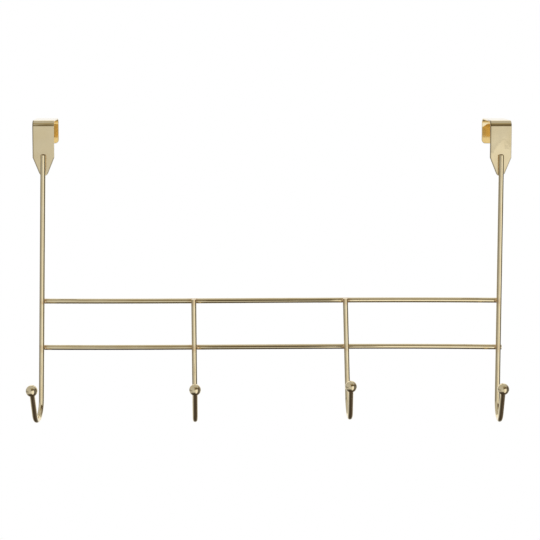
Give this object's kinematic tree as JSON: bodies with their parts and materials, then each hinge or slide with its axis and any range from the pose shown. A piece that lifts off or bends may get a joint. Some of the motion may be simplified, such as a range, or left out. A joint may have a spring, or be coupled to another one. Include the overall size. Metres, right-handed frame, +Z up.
{
  "type": "over door hook",
  "caption": "Brass-coloured wire rack that hangs over a door by folded strip brackets, with a row of J-shaped coat hooks that end in balls.",
  "frame": {"origin": "midway between the two brackets, on the door's front face, level with the door's top edge", "axes": "+X to the right of someone facing the rack, -Y towards them, +Z up"},
  "size_m": [0.4482, 0.0945, 0.2813],
  "materials": {
    "polished_strip": "polished brass plate on folded steel strip",
    "polished_wire": "polished brass plate on steel wire",
    "polished_rail": "polished brass plate on steel bar",
    "polished_ball": "polished brass plate on turned steel"
  },
  "bodies": {
    "root": {"left_door_bracket": "polished_strip", "right_door_bracket": "polished_strip", "left_end_wire": "polished_wire", "left_hook_wire": "polished_wire", "right_hook_wire": "polished_wire", "right_end_wire": "polished_wire", "upper_rail": "polished_rail", "lower_rail": "polished_rail", "left_end_ball": "polished_ball", "left_hook_ball": "polished_ball", "right_hook_ball": "polished_ball", "right_end_ball": "polished_ball"}
  },
  "joints": []
}
